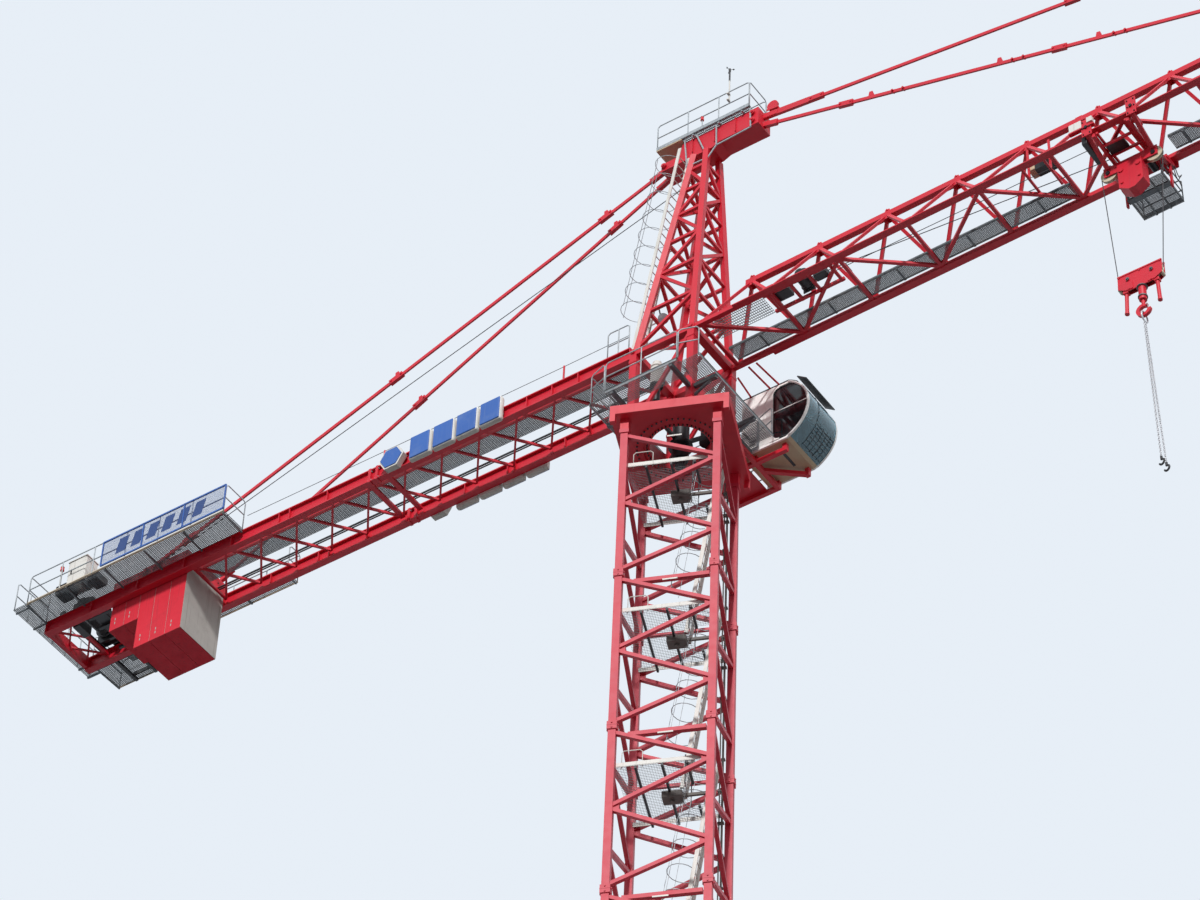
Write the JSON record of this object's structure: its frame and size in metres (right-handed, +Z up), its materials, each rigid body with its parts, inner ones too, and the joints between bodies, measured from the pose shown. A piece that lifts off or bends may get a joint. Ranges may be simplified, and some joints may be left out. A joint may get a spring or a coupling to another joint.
{
  "type": "tower crane",
  "caption": "Half-size model of a tower crane: lattice mast, slewing head with tied jib and counter-jib, ballast, cab, travelling trolley and hook block.",
  "frame": {"origin": "centre of the underside of the mast's base frame, on the ground", "axes": "+Z up the mast, +X along the jib at rest, +Y to the jib's far side as seen in the picture"},
  "size_m": [37.2025, 3.0207, 22.093],
  "materials": {
    "red_enamel": "semi-gloss enamel over structural steel",
    "galvanised_grating": "hot-dip galvanised",
    "white_enamel": "semi-gloss enamel",
    "dark_steel": "oily dark steel",
    "concrete": "painted cast concrete, matt",
    "cast_nylon": "cream cast nylon",
    "tinted_glass": "blue-green tinted safety glass",
    "wire_rope": "greased wire rope"
  },
  "bodies": {
    "tower": {"base_frame": "red_enamel", "mast_legs": "red_enamel", "mast_side_front": "red_enamel", "mast_side_back": "red_enamel", "mast_side_left": "red_enamel", "mast_side_right": "red_enamel", "mast_platforms": "galvanised_grating", "mast_ladders": "white_enamel", "slew_support": "red_enamel"},
    "slewing": {"turntable": "red_enamel", "tower_head": "red_enamel", "head_beam": "red_enamel", "jib_chords": "red_enamel", "jib_side_near": "red_enamel", "jib_side_far": "red_enamel", "jib_floor": "red_enamel", "jib_ties": "red_enamel", "counter_jib_beams": "red_enamel", "counter_jib_bracing": "red_enamel", "counter_jib_ties": "red_enamel", "cab_support": "red_enamel", "base_platform": "galvanised_grating", "head_platform": "galvanised_grating", "jib_walkway": "galvanised_grating", "counter_jib_gratings": "galvanised_grating", "control_cabinet": "galvanised_grating", "head_ladder": "white_enamel", "slew_motors": "white_enamel", "sign_boards": "white_enamel", "cab_sides": "white_enamel", "cab_floor": "white_enamel", "trolley_winch": "dark_steel", "hoist_winch": "dark_steel", "cab_roof": "dark_steel", "ballast_blocks": "concrete", "cab_glass": "tinted_glass", "hoist_rope": "wire_rope"},
    "trolley": {"trolley_frame": "red_enamel", "trolley_rollers": "cast_nylon", "trolley_basket": "galvanised_grating"},
    "hook_block": {"hoist_falls": "wire_rope", "hook_cheeks": "red_enamel", "hook_sheaves": "cast_nylon"},
    "hook": {"hook": "dark_steel", "sling_chain": "dark_steel"}
  },
  "joints": [
    {"name": "slew", "type": "hinge", "parent": "tower", "child": "slewing", "pos_m": [0, 0, 15.5], "axis": [0, 0, 1], "continuous": true},
    {"name": "trolley_travel", "type": "slide", "parent": "slewing", "child": "trolley", "axis": [0.9997, 0, 0.0227], "range_m": [-4.68, 18.9]},
    {"name": "hoist", "type": "slide", "parent": "trolley", "child": "hook_block", "axis": [0, 0, 1], "range_m": [-11.3, 1.3], "deforming": ["hoist_falls"]},
    {"name": "hook_swivel", "type": "hinge", "parent": "hook_block", "child": "hook", "pos_m": [6.6816, 0, 14.41849], "axis": [0, 0, 1], "continuous": true}
  ]
}
